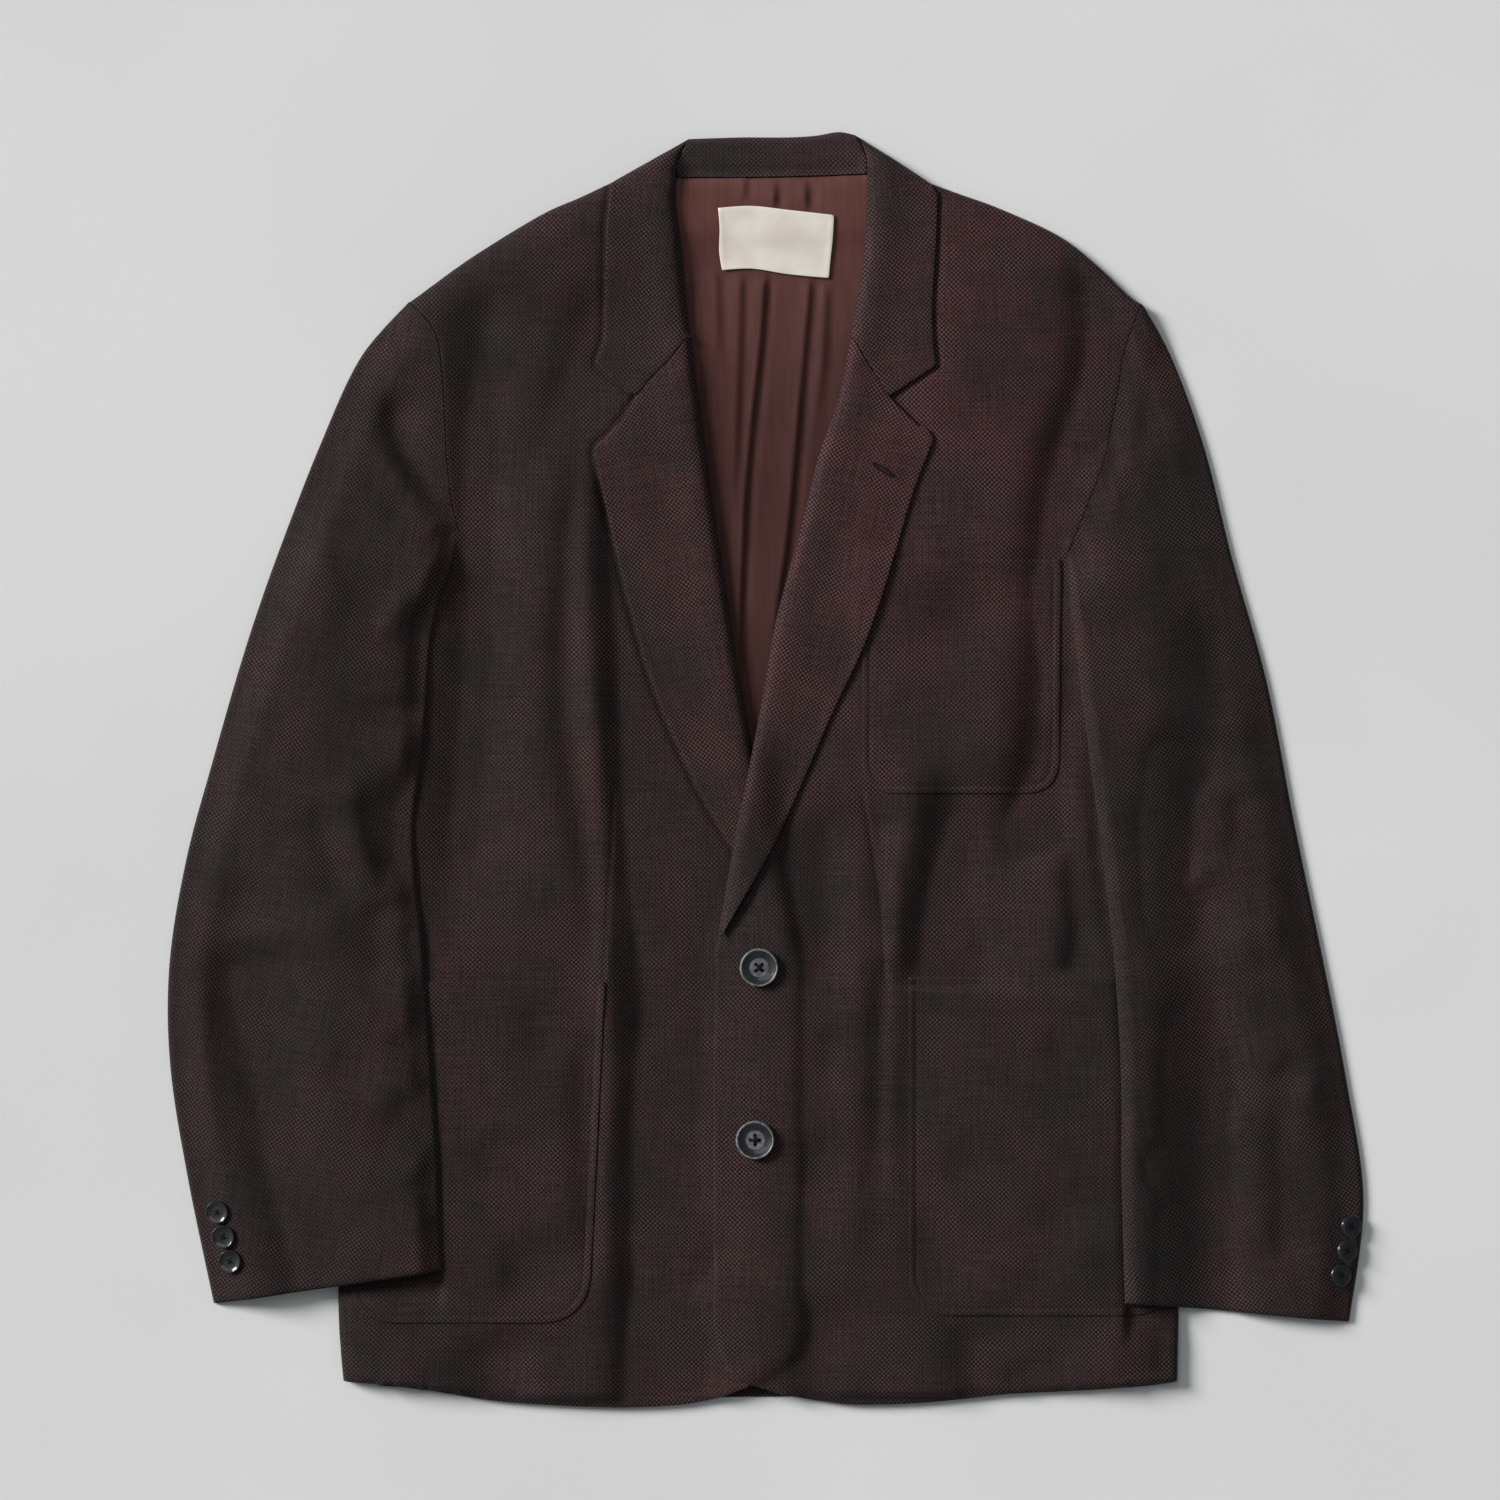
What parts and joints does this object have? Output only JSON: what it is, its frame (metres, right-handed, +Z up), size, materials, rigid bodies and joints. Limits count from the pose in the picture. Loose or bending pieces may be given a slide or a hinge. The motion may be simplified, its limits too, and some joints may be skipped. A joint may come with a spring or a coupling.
{
  "type": "linen jacket laid flat",
  "caption": "Single-breasted linen jacket with notched lapels, patch pockets and a pleated lining in the neck, laid flat on its back with the front buttoned and the sleeves down.",
  "frame": {"origin": "under the middle of the jacket's footprint, on the surface that it lies on", "axes": "+Z up, away from the surface; +Y towards the collar; +X towards the wearer's left sleeve"},
  "size_m": [0.7305, 0.7786, 0.0171],
  "materials": {
    "linen": "matte basket-weave linen, dark brown and near-black threads",
    "lining": "smooth brown lining with a soft sheen",
    "label": "plain cream woven tape",
    "button": "satin dark horn with a paler worn rim"
  },
  "bodies": {
    "root": {"back": "linen", "back_lining": "lining", "label": "label", "front_right": "linen", "front_left": "linen", "lapel_right": "linen", "lapel_left": "linen", "collar": "linen", "chest_pocket": "linen", "pocket_left": "linen", "pocket_right": "linen", "top_sleeve_right": "linen", "under_sleeve_right": "linen", "top_sleeve_left": "linen", "under_sleeve_left": "linen", "button_front_upper": "button", "button_front_lower": "button", "button_cuff_right_1": "button", "button_cuff_right_2": "button", "button_cuff_right_3": "button", "button_cuff_left_1": "button", "button_cuff_left_2": "button", "button_cuff_left_3": "button"}
  },
  "joints": []
}
